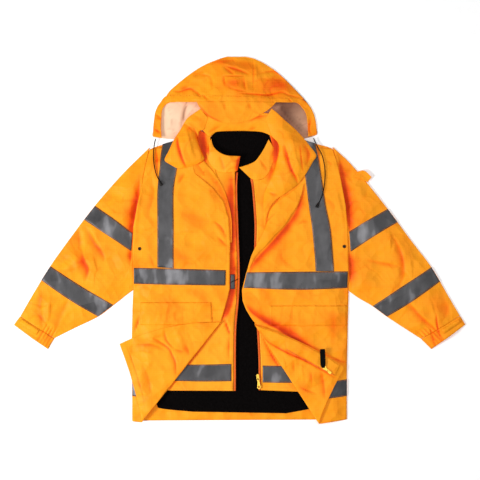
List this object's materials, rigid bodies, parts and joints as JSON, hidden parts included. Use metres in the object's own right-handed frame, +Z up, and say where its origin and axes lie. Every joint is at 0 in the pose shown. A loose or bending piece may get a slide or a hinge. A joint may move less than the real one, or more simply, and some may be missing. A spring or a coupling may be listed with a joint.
{
  "type": "hi-vis work jacket",
  "caption": "Hooded hi-vis work jacket with a zip-in fleece jacket, open in front and laid flat on its back, with its lower front corners folded over.",
  "frame": {"origin": "centre of the jacket's outline, on the surface it lies on", "axes": "+Z up from the surface, +Y towards the hood, +X towards the wearer's left sleeve"},
  "size_m": [1.394, 1.1321, 0.0349],
  "materials": {
    "outer_cloth": "coated woven polyester, fluorescent orange, slight sheen",
    "hood_lining": "plain light peach lining",
    "fleece": "black fleece, matt nap",
    "inner_cloth": "woven polyester, fluorescent orange",
    "zip_tape": "woven orange zip tape",
    "reflective_tape": "grey glass-bead reflective tape, satin",
    "cord": "black braided cord",
    "cord_end": "black moulded plastic",
    "zip_metal": "painted yellow metal",
    "eyelet_metal": "dark metal",
    "tag": "plain black rubber"
  },
  "bodies": {
    "garment": {"brace_left": "reflective_tape", "brace_right": "reflective_tape", "collar_back": "outer_cloth", "collar_left": "outer_cloth", "collar_right": "outer_cloth", "cord_end_left": "cord_end", "cord_end_right": "cord_end", "cuff_left": "outer_cloth", "cuff_right": "outer_cloth", "cuff_tab_left": "outer_cloth", "cuff_tab_right": "outer_cloth", "drawcord_left": "cord", "drawcord_right": "cord", "eyelet_left": "eyelet_metal", "eyelet_right": "eyelet_metal", "facing_left": "outer_cloth", "hem_tape_left": "reflective_tape", "hem_tape_right": "reflective_tape", "hood_back": "hood_lining", "hood_brim": "outer_cloth", "hood_crown": "outer_cloth", "hood_peak": "outer_cloth", "inner_back": "fleece", "inner_collar_left": "inner_cloth", "inner_collar_right": "inner_cloth", "inner_front_left": "inner_cloth", "inner_front_right": "inner_cloth", "inner_tape_left": "reflective_tape", "inner_tape_right": "reflective_tape", "inner_waist_patch": "reflective_tape", "inner_zip_left": "zip_tape", "inner_zip_right": "zip_tape", "inner_zip_slider": "zip_metal", "outer_back": "outer_cloth", "outer_front_left": "outer_cloth", "outer_front_right": "outer_cloth", "outer_zip_slider": "zip_metal", "pocket_flap_left": "outer_cloth", "pocket_flap_right": "outer_cloth", "sleeve_left": "outer_cloth", "sleeve_loop": "outer_cloth", "sleeve_right": "outer_cloth", "sleeve_tape_lower_left": "reflective_tape", "sleeve_tape_lower_right": "reflective_tape", "sleeve_tape_upper_left": "reflective_tape", "sleeve_tape_upper_right": "reflective_tape", "small_cord": "cord", "storm_flap": "outer_cloth", "waist_tape_left": "reflective_tape", "waist_tape_right": "reflective_tape", "zip_facing": "outer_cloth"},
    "inner_pull": {"inner_zip_pull": "zip_metal"},
    "outer_pull": {"outer_zip_pull": "zip_metal", "outer_zip_tag": "tag"}
  },
  "joints": [
    {"name": "inner_pull_swing", "type": "hinge", "parent": "garment", "child": "inner_pull", "pos_m": [0.056, -0.42, 0.0162], "axis": [-0.9945, -0.1045, 0], "range_deg": [0, 165]},
    {"name": "outer_pull_swing", "type": "hinge", "parent": "garment", "child": "outer_pull", "pos_m": [0.276, -0.406, 0.02815], "axis": [0.6561, 0.7547, 0], "range_deg": [0, 165]}
  ]
}
